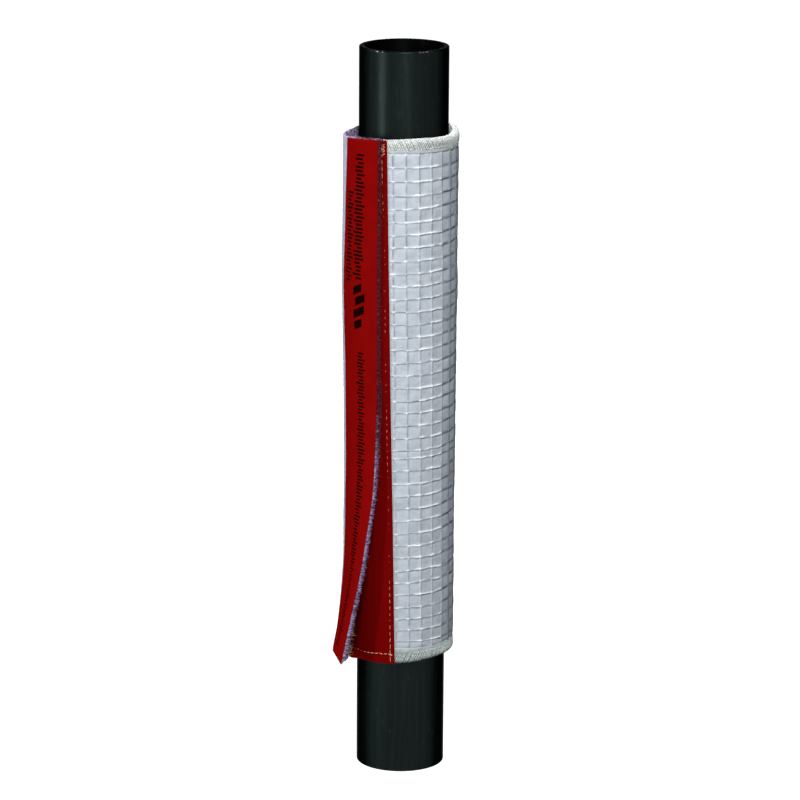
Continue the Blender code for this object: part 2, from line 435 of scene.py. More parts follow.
def link_finish(tree, shader, height, relief, **patterns):
    """Links a finish's patterns to its shader, and a height pattern as relief of this depth."""
    patterns["Normal"] = add_node(tree, "Bump", {"Height": height, "Distance": relief, "Strength": 1.0})
    for key, socket in patterns.items():
        tree.links.new(socket, shader.inputs[key.replace("_", " ")])


def blotches(tree, vector, spacing, detail=3.0, roughness=0.55):
    """An uneven pattern whose blotches are spaced this far apart, one distance or one for each axis."""
    spacing = (spacing,) * 3 if isinstance(spacing, float) else spacing
    scaled = add_node(tree, "Mapping", {"Vector": vector, "Scale": [1.0 / distance for distance in spacing]})
    fineness = {"Scale": 1.0, "Detail": detail, "Roughness": roughness}
    return add_node(tree, "TexNoise", {"Vector": scaled, **fineness})


def blackened_steel():
    """Steel tube, linished round its girth, under black oxide.

    Nearly black, with a tall narrow gleam, faint lengthwise draw marks and a few rubs. Two spots of bare
    steel on the front of the upper rim are partly wear and partly painted highlight, and the bore is painted
    blacker than the outside as painted shade.
    """
    # Real draw marks are finer, and are drawn this coarse so that they show.
    draw_marks, rubs, scuffs = (0.0022, 0.0022, 0.045), (0.0025, 0.0025, 0.008), 0.0016
    material, tree, shader, place = new_finish(
        "blackened_steel", Metallic=1.0, Roughness=0.40, Anisotropic=0.55, Anisotropic_Rotation=0.25,
        Specular_Tint="#6e6e6e")
    marks = blotches(tree, place, draw_marks, 4.0)
    marked = add_node(tree, "MapRange", [marks, 0.30, 0.70])
    dull = add_node(tree, "Mix", {0: marked, 6: "#121817", 7: "#171d1c"}, **COLOUR_MIX)
    rubbed = add_node(tree, "MapRange", [blotches(tree, place, rubs, 5.0, 0.7), 0.60, 0.75])
    thin = add_node(tree, "Math", [rubbed, 0.25], operation="MULTIPLY")
    worn = add_node(tree, "Mix", {0: thin, 6: dull, 7: "#3c4644"}, **COLOUR_MIX)

    from_axis = add_node(tree, "Mapping", {"Vector": place, "Location": (-AXIS_X, -AXIS_Y, 0.0)})
    x, y, z = add_node(tree, "SeparateXYZ", [from_axis]).node.outputs
    level = add_node(tree, "CombineXYZ", [x, y])
    reach = add_node(tree, "VectorMath", [level], "Value", operation="LENGTH")
    # Bare steel on the front of the upper rim: partly wear and partly painted highlight.
    patches = []
    for middle, half in KNOCK_HIGHLIGHTS:
        aside = add_node(tree, "Math", [x, middle], operation="SUBTRACT")
        away = add_node(tree, "Math", [aside], operation="ABSOLUTE")
        patches.append(add_node(tree, "MapRange", [away, half, half * 0.6]))
    bare = add_node(tree, "MapRange", [blotches(tree, place, scuffs), 0.46, 0.60])
    for part in (add_node(tree, "MapRange", [reach, PIPE_RADIUS - 0.0010, PIPE_RADIUS - 0.0005]),
                 add_node(tree, "MapRange", [z, PIPE_TOP - 0.0009, PIPE_TOP - 0.0005]),
                 add_node(tree, "MapRange", [y, 0.0, -0.004]),
                 add_node(tree, "Math", patches, operation="MAXIMUM")):
        bare = add_node(tree, "Math", [bare, part], operation="MULTIPLY")
    knocked_and_highlit = add_node(tree, "Mix", {0: bare, 6: worn, 7: "#6d6c69"}, **COLOUR_MIX)
    # Painted shade: the bore is drawn blacker than the outside.
    bore = add_node(tree, "MapRange", [reach, PIPE_RADIUS - 0.0009, PIPE_RADIUS - 0.0020])
    steel = add_node(tree, "Mix", {0: bore, 6: knocked_and_highlit, 7: "#060707"}, **COLOUR_MIX)
    roughness = add_node(tree, "MapRange", [marks, 0.3, 0.7, 0.38, 0.42])
    link_finish(tree, shader, marks, 0.00001, Base_Color=steel, Roughness=roughness)
    return material


def foil_laminate():
    """Aluminium-coated glass cloth over a scrim of threads.

    A satin silver-white skin whose cells differ slightly in tone, with fine crumples in each cell. Painted
    highlight makes it white over the threads, and painted shade makes it grey in the creases beside them.
    """
    cells, crumples, fine_crumples = 0.0065, 0.0024, 0.0008
    material, tree, shader, place = new_finish(
        "foil_laminate", Metallic=0.03, Roughness=0.36, Specular_IOR_Level=0.0, Specular_Tint="#50565c")
    tone = add_node(tree, "MapRange", [blotches(tree, place, cells, 2.0), 0.35, 0.65])
    skin = add_node(tree, "Mix", {0: tone, 6: "#b3bbc4", 7: "#c0c7d0"}, **COLOUR_MIX)
    # Painted highlight: the foil is drawn white over the threads.
    painted_glint = add_node(tree, "Attribute", output="Fac", attribute_name="painted_glint")
    glint_painted_skin = add_node(tree, "Mix", {0: painted_glint, 6: skin, 7: "#f2f5f7"}, **COLOUR_MIX)
    # Painted shade: the foil is drawn grey in the creases beside the threads.
    crease_shade = add_node(tree, "Attribute", output="Fac", attribute_name="crease_shade")
    crease_shaded_skin = add_node(tree, "Mix", {0: crease_shade, 6: glint_painted_skin, 7: "#69747a"}, **COLOUR_MIX)
    crumple = blotches(tree, place, crumples, 3.0, 0.6)
    fine = add_node(tree, "Math", [blotches(tree, place, fine_crumples, 2.0), 0.35], operation="MULTIPLY")
    both = add_node(tree, "Math", [crumple, fine], operation="ADD")
    roughness = add_node(tree, "MapRange", [crumple, 0.3, 0.7, 0.30, 0.44])
    link_finish(tree, shader, both, 0.00035, Base_Color=crease_shaded_skin, Roughness=roughness)
    return material


def hem_cloth(name, thread, shade):
    """Cut edge of the laminate under white overlock thread, on the flap's side over violet fleece.

    Matt and slightly green, mottled where the thread lies thin. Past the needle line the laminate lies bare.
    """
    # The stitches are 1.3 mm apart. The yarn is finer than here, and is drawn this coarse so that it shows.
    mottle, yarn = 0.0011, 0.0005
    material, tree, shader, place = new_finish(name, Roughness=0.72, Specular_IOR_Level=0.05)
    patches = add_node(tree, "MapRange", [blotches(tree, place, mottle, 3.0, 0.65), 0.40, 0.62])
    sewn = add_node(tree, "Mix", {0: patches, 6: shade, 7: thread}, **COLOUR_MIX)
    bare = add_node(tree, "Attribute", output="Fac", attribute_name="bare")
    pale = add_node(tree, "Mix", {0: bare, 6: sewn, 7: "#b4bec0"}, **COLOUR_MIX)
    flecks = add_node(tree, "MapRange", [blotches(tree, place, mottle, 4.0, 0.8), 0.54, 0.64])
    fleece = add_node(tree, "Mix", {0: flecks, 6: "#2b2036", 7: "#b3aecb"}, **COLOUR_MIX)
    fleecy = add_node(tree, "Attribute", output="Fac", attribute_name="fleecy")
    cloth = add_node(tree, "Mix", {0: fleecy, 6: pale, 7: fleece}, **COLOUR_MIX)
    link_finish(tree, shader, blotches(tree, place, yarn), 0.00025, Base_Color=cloth)
    return material


def sewing_thread(name, light, dark):
    """Spun sewing thread: matt, with the slant of its twist."""
    twist = 0.0007
    material, tree, shader, place = new_finish(
        name, Roughness=0.65, Specular_IOR_Level=0.30, Sheen_Weight=0.15)
    fibres = blotches(tree, place, twist)
    lit = add_node(tree, "MapRange", [fibres, 0.35, 0.6])
    spun = add_node(tree, "Mix", {0: lit, 6: dark, 7: light}, **COLOUR_MIX)
    link_finish(tree, shader, fibres, 0.0001, Base_Color=spun)
    return material


def strip_film():
    """Dark red vinyl film on cloth, calendered: matt, with faint streaks along its length."""
    streaks, cloth = (0.0016, 0.0016, 0.080), 0.0030
    material, tree, shader, place = new_finish("strip_film", Roughness=0.6, Specular_IOR_Level=0.0)
    streak = add_node(tree, "MapRange", [blotches(tree, place, streaks), 0.3, 0.7])
    red = add_node(tree, "Mix", {0: streak, 6: "#670404", 7: "#730505"}, **COLOUR_MIX)
    link_finish(tree, shader, blotches(tree, place, cloth, 2.0), 0.00006, Base_Color=red)
    return material


def bars(tree, across, along, middle, height, pitch, ink, start, end, slant=0.0):
    """1 on a row of plain bars down the film, some of them shorter.

    Sizes are in metres, and ink is the share of the pitch that a bar takes.
    """
    aside = add_node(tree, "Math", [across, middle], operation="SUBTRACT")
    lean = add_node(tree, "Math", [aside, slant], operation="MULTIPLY")
    along = add_node(tree, "Math", [along, lean], operation="ADD")
    number = add_node(tree, "Math", [along, pitch], operation="DIVIDE")
    number = add_node(tree, "Math", [number], operation="FLOOR")
    seed = add_node(tree, "Math", [number, middle], operation="ADD")
    chance = add_node(tree, "TexWhiteNoise", {"W": seed}, "Value", noise_dimensions="1D")
    reach = add_node(tree, "MapRange", [chance, 0.0, 1.0, height * 0.24, height * 0.50])
    turn = add_node(tree, "Math", [number, 2.3], operation="MULTIPLY")
    wave = add_node(tree, "Math", [turn], operation="SINE")
    shift = add_node(tree, "Math", [wave, height * 0.12], operation="MULTIPLY")
    off_middle = add_node(tree, "Math", [aside, shift], operation="SUBTRACT")
    away = add_node(tree, "Math", [off_middle], operation="ABSOLUTE")
    within = add_node(tree, "Math", [along, pitch], operation="MODULO")
    printed = add_node(tree, "Math", [away, reach], operation="LESS_THAN")
    for part in (add_node(tree, "Math", [within, pitch * ink], operation="LESS_THAN"),
                 add_node(tree, "Math", [along, start], operation="GREATER_THAN"),
                 add_node(tree, "Math", [along, end], operation="LESS_THAN")):
        printed = add_node(tree, "Math", [printed, part], operation="MULTIPLY")
    return printed


def flap_film_finish(width, length):
    """Red vinyl film, calendered and printed with rows of plain black bars: matt, evenly coloured."""
    tones, cloth = 0.012, 0.0045
    material, tree, shader, place = new_finish("flap_film_finish", Roughness=0.6, Specular_IOR_Level=0.0)
    unrolled = add_node(tree, "TexCoord", output="UV")
    flat = add_node(tree, "Mapping", {"Vector": unrolled, "Scale": (width, length, 1.0)})
    across, along, _ = add_node(tree, "SeparateXYZ", [flat]).node.outputs
    printed = 0.0
    for row in (
            {"middle": 0.0080, "height": 0.0075, "pitch": 0.0026, "ink": 0.58, "start": 0.262, "end": 0.324},
            {"middle": 0.0177, "height": 0.0088, "pitch": 0.0026, "ink": 0.58, "start": 0.265, "end": 0.351},
            {"middle": 0.0187, "height": 0.0105, "pitch": 0.0080, "ink": 0.72, "start": 0.232, "end": 0.263,
             "slant": -0.5},
            {"middle": 0.0200, "height": 0.0072, "pitch": 0.0023, "ink": 0.55, "start": 0.008, "end": 0.216}):
        printed = add_node(tree, "Math", [printed, bars(tree, across, along, **row)], operation="MAXIMUM")
    tone = add_node(tree, "MapRange", [blotches(tree, place, tones, 2.0), 0.35, 0.65])
    red = add_node(tree, "Mix", {0: tone, 6: "#760605", 7: "#7c0706"}, **COLOUR_MIX)
    film = add_node(tree, "Mix", {0: printed, 6: red, 7: "#160403"}, **COLOUR_MIX)
    link_finish(tree, shader, blotches(tree, place, cloth, 2.0), 0.00008, Base_Color=film)
    return material


def needled_fleece():
    """Needled fibre fleece: lilac-grey with flecks, painted wine-dark as shade, and pale on its pressed face.
    """
    # Single fibres are far finer, and are drawn this coarse so that they show.
    tufts, flecks, fibres = (0.0030, 0.0030, 0.0012), (0.0022, 0.0022, 0.0008), 0.0009
    material, tree, shader, place = new_finish(
        "needled_fleece", Roughness=0.9, Specular_IOR_Level=0.0, Sheen_Weight=0.05, Sheen_Roughness=0.5)
    tuft = add_node(tree, "MapRange", [blotches(tree, place, tufts), 0.42, 0.57])
    fleck = add_node(tree, "MapRange", [blotches(tree, place, flecks, 3.0, 0.7), 0.53, 0.62])
    # Painted shade: where shade is high the fleece is drawn wine-dark, its red a painted reflection of the
    # film, and its flecks fade.
    shade = add_node(tree, "Attribute", output="Fac", attribute_name="shade")
    open_ground = add_node(tree, "Mix", {0: tuft, 6: "#463150", 7: "#9a88b8"}, **COLOUR_MIX)
    ground = add_node(tree, "Mix", {0: shade, 6: open_ground, 7: "#450817"}, **COLOUR_MIX)
    catching = add_node(tree, "MapRange", [shade, 0.0, 1.0, 0.95, 0.09])
    flecks_shown = add_node(tree, "Math", [fleck, catching], operation="MULTIPLY")
    raised = add_node(tree, "Mix", {0: flecks_shown, 6: ground, 7: "#cdc4e2"}, **COLOUR_MIX)
    pressed = add_node(tree, "Mix", {0: fleck, 6: "#a6adc6", 7: "#cccee2"}, **COLOUR_MIX)
    outside = add_node(tree, "Attribute", output="Fac", attribute_name="outside")
    fleece = add_node(tree, "Mix", {0: outside, 6: raised, 7: pressed}, **COLOUR_MIX)
    link_finish(tree, shader, blotches(tree, place, fibres, 4.0, 0.7), 0.0005, Base_Color=fleece)
    return material


# Pipe

def pick_edges(piece, wanted):
    """Enters edit mode with only the edges selected whose two ends pass the test."""
    make_active(piece)
    bpy.ops.object.mode_set(mode="EDIT")
    bpy.ops.mesh.select_mode(type="EDGE")
    bpy.ops.mesh.select_all(action="DESELECT")
    leave_edit()
    points = [vertex.co for vertex in piece.data.vertices]
    for edge in piece.data.edges:
        edge.select = wanted(*(points[index] for index in edge.vertices))
    bpy.ops.object.mode_set(mode="EDIT")


def make_pipe():
    """A square-cut length of tube. Both rims are rounded, the outer one more."""
    bpy.ops.mesh.primitive_cylinder_add(
        vertices=PIPE_SIDES, radius=PIPE_RADIUS, depth=PIPE_TOP, end_fill_type="NOTHING",
        location=(AXIS_X, AXIS_Y, PIPE_TOP / 2))
    pipe = bpy.context.active_object
    pipe.name = "pipe"
    settle(pipe)
    apply_modifier(pipe, "SOLIDIFY", thickness=PIPE_WALL, offset=-1.0, use_even_offset=True)
    middle = PIPE_RADIUS - PIPE_WALL / 2

    def on_rim(first, last, outer):
        reach = [math.hypot(point.x - AXIS_X, point.y - AXIS_Y) > middle for point in (first, last)]
        level = abs(first.z - last.z) < 1e-5
        return level and all(side == outer for side in reach)

    for outer, size in ((True, RIM_OUTER_ROUND), (False, RIM_INNER_ROUND)):
        pick_edges(pipe, lambda first, last: on_rim(first, last, outer))
        bpy.ops.mesh.bevel(offset=size, segments=RIM_ROUND_STEPS, affect="EDGES")
        leave_edit()
    shade_smooth(pipe, 60)
    finish_piece(pipe, blackened_steel(), ["steel_pipe"])


# Mat

def make_mat():
    """The fleece blanket itself, bent into a C round the pipe. Only its upper end shows, beside the pipe."""
    columns, rows, corner_rows, hem_reach = 209, 72, 7, 0.020
    low, high = SLEEVE_BOTTOM + MAT_END_GAP, SLEEVE_TOP - MAT_END_GAP
    turn = np.linspace(0, math.pi / 2, corner_rows)
    height = np.concatenate([low + MAT_CORNER * (1 - np.cos(turn)),
                             np.linspace(low + MAT_CORNER, high - MAT_CORNER, rows)[1:-1],
                             high - MAT_CORNER * (1 - np.cos(turn[::-1]))])
    near_end = np.clip(MAT_CORNER - np.minimum(height - low, high - height), 0.0, MAT_CORNER)
    rounding = MAT_CORNER - np.sqrt(np.maximum(MAT_CORNER ** 2 - near_end ** 2, 0.0))
    phase, z = np.meshgrid(np.linspace(SLIT_PHASE, WRAP_END_PHASE, columns), height)
    outer = sleeve_radius(z) - MAT_DEPTH - rounding[:, None]
    angle = thread_angle(phase, z)
    outer = outer + np.minimum(swell(angle, z), 0.0)
    z = z + hem_wave(True, angle, 0.0) * rise(z, high - hem_reach, hem_reach)
    z = z + hem_wave(False, angle, 0.0) * fade(z, low + hem_reach, hem_reach)
    mat = sheet_piece("fleece_mat", on_wrap(outer, angle, z))
    thickest = RADIUS_TOP - MAT_DEPTH - MAT_INNER_RADIUS
    thicken(mat, thickest, np.clip((outer - MAT_INNER_RADIUS - MAT_INNER_GAP) / thickest, 0.05, 1.0))
    shade_smooth(mat)
    write_attribute(mat, "outside", np.zeros(len(mat.data.vertices)))
    finish_piece(mat, FLEECE, ["fibre_mat"])


# Foil

def around_threads(first, past, offsets):
    """Places at these offsets from each thread, in order."""
    return (np.arange(first, past)[:, None] + np.array(offsets)[None, :]).ravel()


def foil_columns():
    """Thread numbers at which the foil has points: close together where it bends over a thread."""
    finest = [-0.42, -0.30, -0.20, -0.10, -0.04, 0.0, 0.04, 0.10, 0.20, 0.32]
    hidden_left = np.append(SLIT_PHASE, np.arange(-5.0, -0.5, 0.5))
    front = around_threads(0, DETAILED_THREADS, finest)
    beyond = around_threads(DETAILED_THREADS, COVERED_THREADS, [-0.20, -0.06, 0.0, 0.06, 0.20])
    hidden_right = np.append(np.arange(COVERED_THREADS - 0.5, WRAP_END_PHASE, 0.5), WRAP_END_PHASE)
    return np.concatenate([hidden_left, front, beyond, hidden_right])


def foil_rows():
    shown = around_threads(1, ROWS, [-0.20, -0.10, -0.045, 0.0, 0.045, 0.10, 0.20, 0.5])
    first, last = [-0.30, -0.10, 0.06, 0.16, 0.45], [ROWS - 0.25, ROWS - 0.12, ROWS, ROWS + 0.15]
    return np.concatenate([first, shown, last])


def row_height(row):
    """Height of a crosswise thread. Two threads were laid closer together than the rest."""
    rows = np.arange(-1, ROWS + 2)
    heights = FIRST_THREAD + (rows - 1) * THREAD_PITCH - (rows > CLOSE_ROW) * (THREAD_PITCH - CLOSE_PITCH)
    heights[1] = SLEEVE_BOTTOM + HEM_HEIGHT
    heights[0] = heights[1] - THREAD_PITCH
    heights[ROWS + 1] = SLEEVE_TOP - HEM_HEIGHT
    return np.interp(row, rows, heights)


def strip_right(z):
    """Angle of the strip's right edge, which the cross seam pulls a little further round at its foot."""
    even = STRIP_RIGHT_TOP + (STRIP_RIGHT_BOTTOM - STRIP_RIGHT_TOP) * along_sleeve(z)
    return even + 0.010 * rise(along_sleeve(z), 0.45, 0.35)


def foil_place(phase, row):
    """Angle and height of a point of the foil, whose threads wander a little and run slightly askew."""
    z = row_height(row)
    held = rise(z, SLEEVE_BOTTOM + HEM_HEIGHT, SKEW_FADE) * fade(z, SLEEVE_TOP - HEM_HEIGHT, SKEW_FADE)
    askew = SKEW * sleeve_radius(z) * (thread_angle(phase, z) - SKEW_MIDDLE)
    wander = 0.00040 * uneven(phase * 0.45, row, 11) + 0.00030 * uneven(phase * 1.7, row, 12)
    wander = wander + 0.00022 * uneven(phase * 3.3, row * 1.7, 15)
    sideways = 0.045 * uneven(phase, row * 0.22, 13) + 0.020 * uneven(phase, row * 0.9, 14)
    z = z + (askew + wander) * held
    return thread_angle(phase + sideways * held, z), z


def foil_relief(phase, row, radius):
    """Depth of the foil below its thread tops, and its painted highlight and painted shade, each from 0 to 1.

    The crosswise threads stand out most from thread 1 to thread 4, and are painted white there. Left of that
    they show as thin creases, and past it the foil is folded in beside them and painted grey as shade.
    """
    off_thread = (phase - np.round(phase)) * THREAD_SPACING * radius
    nearest = np.round(row)
    off_row = (row - nearest) * THREAD_PITCH
    crossing = hump(off_thread, 0.0, 0.00085)
    broken = np.clip(1.7 * uneven(phase * 2.3, nearest * 3.0, 21), -1.0, 1.0)
    raised = fade(phase, 4.15, 0.40)
    proud = 0.30 + 0.70 * rise(phase, 1.15, 0.70)

    swelling = np.clip(0.02 + 0.58 * proud + 0.55 * proud * broken + 0.50 * crossing, 0.05, 1.30)
    wide = 0.00026 + 0.00022 * proud + 0.00020 * crossing
    crosswise = hump(off_row, 0.0, wide) * swelling * (0.25 + 0.75 * raised)
    lengthwise = hump(off_thread, 0.0, 0.00042) * (0.50 + 0.25 * uneven(np.round(phase), row * 1.3, 22))
    groove = 0.00012 * (hump(np.abs(off_thread), 0.00100, 0.00045) + hump(off_row, -0.00100, 0.00040))
    cell_u, cell_v = np.floor(phase), np.floor(row)
    tilt_u, tilt_v = 0.050 * uneven(cell_u, cell_v, 23), 0.045 * uneven(cell_u, cell_v, 24)
    tilted = tilt_u * (phase - cell_u - 0.5) * CELL_WIDTH + tilt_v * (row - cell_v - 0.5) * THREAD_PITCH
    crumple = 0.00012 * uneven(phase * 4.1, row * 3.3, 25)
    flat = np.clip(1.0 - np.maximum(crosswise, lengthwise), 0.0, 1.0)
    depth = facet_sag(phase, radius) + THREAD_RELIEF * flat + groove - (tilted + crumple) * flat

    # Painted highlight: white along the crosswise threads from thread 1 to thread 4, faded past it where the
    # wrap turns from the light.
    shine = np.clip(-0.35 + 0.80 * proud + 0.75 * broken + (1.15 - 0.45 * proud) * crossing, 0.0, 1.0)
    painted_glint = hump(off_row, 0.00005, wide) * shine * raised

    # Painted shade: grey lines beside the lengthwise threads and under the crosswise ones, and wide grey past
    # thread 4 where the wrap turns from the light.
    dashes = np.clip(0.50 + 1.30 * uneven(np.round(phase) * 1.7, row * 2.4, 26), 0.0, 1.0)
    soft_line = (0.32 - 0.16 * proud) * hump(off_thread, 0.00025, 0.00095)
    sharp_line = 0.58 * hump(off_thread, 0.00005, 0.00032)
    upper_part = 0.62 + 0.38 * rise(row, 20.0, 12.0)
    beside = (soft_line + sharp_line) * upper_part * (0.30 + 0.70 * dashes)
    beside = beside * (1.0 - hump(off_row, 0.0, 0.0009))
    below = 0.00022 + 0.00050 * proud
    open_cell = np.clip(1.05 - 0.45 * proud - 0.60 * broken - crossing, 0.0, 1.0)
    beneath = hump(off_row, -below, 0.00028) * open_cell
    folded = hump(off_row, -0.0001, 0.00100) * (0.85 + 0.15 * broken)
    folded = np.maximum(folded, 0.60 * hump(off_thread, 0.0, 0.0016) * (phase > 4.3))
    crease_shade = beside + (0.85 - 0.25 * proud) * beneath * raised + folded * (1.0 - raised)
    return depth, np.clip(painted_glint, 0.0, 1.0), np.clip(crease_shade, 0.0, 1.0)


def make_foil():
    """The foil over its scrim, pressed smooth where the strip and the flap lie on it."""
    phase, row = np.meshgrid(foil_columns(), foil_rows())
    angle, z = foil_place(phase, row)
    radius = wrap_radius(angle, z)
    depth, painted_glint, crease_shade = foil_relief(phase, row, radius)
    under_strip = fade((angle - strip_right(z)) * radius, 0.0009, 0.0009)
    under_flap = rise((angle - math.tau - FLAP_HINGE) * radius, 0.0, 0.0015)
    pressed = np.maximum(under_strip, under_flap)
    depth = depth * (1.0 - pressed) + PRESSED_DEPTH * pressed
    into_hem = np.maximum(SLEEVE_BOTTOM + HEM_HEIGHT - z, z - SLEEVE_TOP + HEM_HEIGHT)
    depth = depth + UNDER_HEM_DEPTH * rise(into_hem, -0.0006, 0.0012)
    foil = sheet_piece("foil", on_wrap(radius - depth, angle, z))
    # Painted highlight and painted shade, left off where the foil is pressed flat.
    write_attribute(foil, "painted_glint", (painted_glint * (1.0 - pressed)).ravel())
    write_attribute(foil, "crease_shade", (crease_shade * (1.0 - pressed)).ravel())
    thicken(foil, FOIL_WALL)
    shade_smooth(foil, 80)
    finish_piece(foil, foil_laminate(), ["foil_cover"])


# Hems

def hem_path(radius):
    """The hem's section from its outer edge: depths below the sleeve's radius and distances from its end."""
    inner_depth = radius - MAT_INNER_RADIUS
    crest_depth = HEM_DEPTH + HEM_CORNER + HEM_CREST
    turned_in = 0.0004
    turn = np.linspace(0.0, math.pi / 2, 9)
    depth = np.concatenate([
        [HEM_DEPTH + turned_in, HEM_DEPTH, HEM_DEPTH],
        HEM_DEPTH + HEM_CORNER * (1 - np.cos(turn)),
        crest_depth + (inner_depth - crest_depth) * np.sin(turn),
        [inner_depth]])
    inward = np.concatenate([
        [HEM_HEIGHT + turned_in, HEM_HEIGHT - 0.0002, HEM_HEIGHT - 0.0030],
        HEM_CORNER * (1 - np.sin(turn)),
        HEM_INNER_DROP * (1 - np.cos(turn)),
        [HEM_INNER_HEIGHT]])
    return depth, inward


def hem_wave(upper, angle, inward):
    """How far a hem's edge lies above its even height.

    The upper one sinks in front and towards the flap's hinge, and the lower one runs askew.
    """
    if upper:
        wave = 0.0002 - 0.0015 * rise(np.cos(angle), -0.5, 0.9) + 0.0005 * hump(angle, 0.35, 0.40)
        wave = wave - 0.0009 * hump(np.arctan2(np.sin(angle), np.cos(angle)), -0.70, 0.75)
        wave = wave - 0.0015 * rise(np.cos(angle + 1.95), 0.1, 0.9)
        wave = wave + 0.0011 * rise(np.cos(angle - 2.40), 0.4, 0.6)
    else:
        wave = -0.0010 + 0.0026 * rise(angle, -0.20, 1.20) - 0.0016 * rise(angle, 2.2, 2.0)
    return wave * fade(inward, HEM_HEIGHT, 0.009)


def along_path(depth, inward, count):
    """The path's points again, this many and evenly spaced, with their distance from its start."""
    reach = running_sum(np.hypot(np.diff(depth), np.diff(inward)))
    even = np.linspace(0.0, reach[-1], count)
    return np.interp(even, reach, depth), np.interp(even, reach, inward), even


def end_height(upper, inward):
    return SLEEVE_TOP - inward if upper else SLEEVE_BOTTOM + inward


def end_radius(upper):
    return RADIUS_TOP if upper else RADIUS_BOTTOM


def end_name(upper, rest):
    return ("upper_" if upper else "lower_") + rest


def fleecy_share(points):
    """1 on the flap's side of the sleeve, where the hem's thread lies over the fleece's end."""
    angle = angle_at(points[:, 0], points[:, 1])
    return rise(angle, math.radians(-140), 0.20) * fade(angle, math.radians(-22), 0.12)


def make_hem(upper):
    """The sleeve's end, drawn in and rounded by its overlock seam, with a ripple under each stitch."""
    radius = end_radius(upper)
    depth, inward, reach = along_path(*hem_path(radius), 34)
    around = np.linspace(SLIT_PHASE, WRAP_END_PHASE, 3 * STITCHES_AROUND + 1)
    phase, depth = np.meshgrid(around, depth)
    inward, reach = inward[:, None], reach[:, None]
    angle = thread_angle(phase, end_height(upper, 0.0))
    z = end_height(upper, inward) + hem_wave(upper, angle, inward)
    needle_at = HEM_HEIGHT - NEEDLE_LINE
    slanted = (angle + (reach - needle_at) * STITCH_SLANT / radius) * STITCHES_AROUND
    ripple = 0.00010 * np.cos(slanted) * rise(reach, needle_at, 0.0008)
    lumpy = 0.00022 * uneven(angle / 0.09, reach / 0.004, 31 + upper)
    sag = 0.6 * facet_sag(phase, radius) * rise(inward, 0.001, 0.004)
    out = ripple + lumpy - sag - 0.00012 * hump(reach, needle_at, 0.0004)
    points = on_wrap(radius - depth + out, angle, z)
    hem = sheet_piece(end_name(upper, "hem"), points if upper else points[::-1])
    thicken(hem, HEM_WALL)
    shade_smooth(hem, 70)
    places = read_vectors(hem, "co")
    from_end = np.abs(places[:, 2] - end_height(upper, 0.0))
    write_attribute(hem, "fleecy", fleecy_share(places))
    write_attribute(hem, "bare", rise(from_end, NEEDLE_LINE, 0.0012))
    return finish_piece(hem, HEM_CLOTH[upper], ["top_hem" if upper else "bottom_hem"])


def thread_pattern(name, points, thickness):
    """A thread along these points: a bevelled curve, made a mesh."""
    curve = bpy.data.curves.new(name, "CURVE")
    curve.dimensions = "3D"
    curve.bevel_depth = thickness / 2
    curve.bevel_resolution = 1
    curve.use_fill_caps = True
    spline = curve.splines.new("POLY")
    spline.points.add(len(points) - 1)
    for point, place in zip(spline.points, points):
        point.co = (*place, 1.0)
    thread = bpy.data.objects.new(name, curve)
    bpy.context.scene.collection.objects.link(thread)
    make_active(thread)
    bpy.ops.object.convert(target="MESH")
    thread = bpy.context.active_object
    edit_all(thread)
    bpy.ops.mesh.remove_doubles(threshold=0.00001)
    bpy.ops.mesh.normals_make_consistent(inside=False)
    leave_edit()
    return thread


def stitch_pattern():
    """One short stitch of unit length along X: a spindle bowed outwards in its middle."""
    bpy.ops.mesh.primitive_uv_sphere_add(segments=7, ring_count=6, radius=0.5, rotation=(0, math.pi / 2, 0))
    stitch = settle(bpy.context.active_object)
    bpy.ops.object.shade_smooth()
    for vertex in stitch.data.vertices:
        vertex.co.z += 0.5 - 2.4 * vertex.co.x ** 2
    return stitch


def round_axis(angle, lift=0.0):
    """Turns a piece made at angle 0 to this angle round the pipe's axis."""
    axis = Vector((AXIS_X, AXIS_Y, 0.0))
    return (Matrix.Translation(axis + Vector((0, 0, lift))) @ Matrix.Rotation(angle, 4, "Z")
            @ Matrix.Translation(-axis))


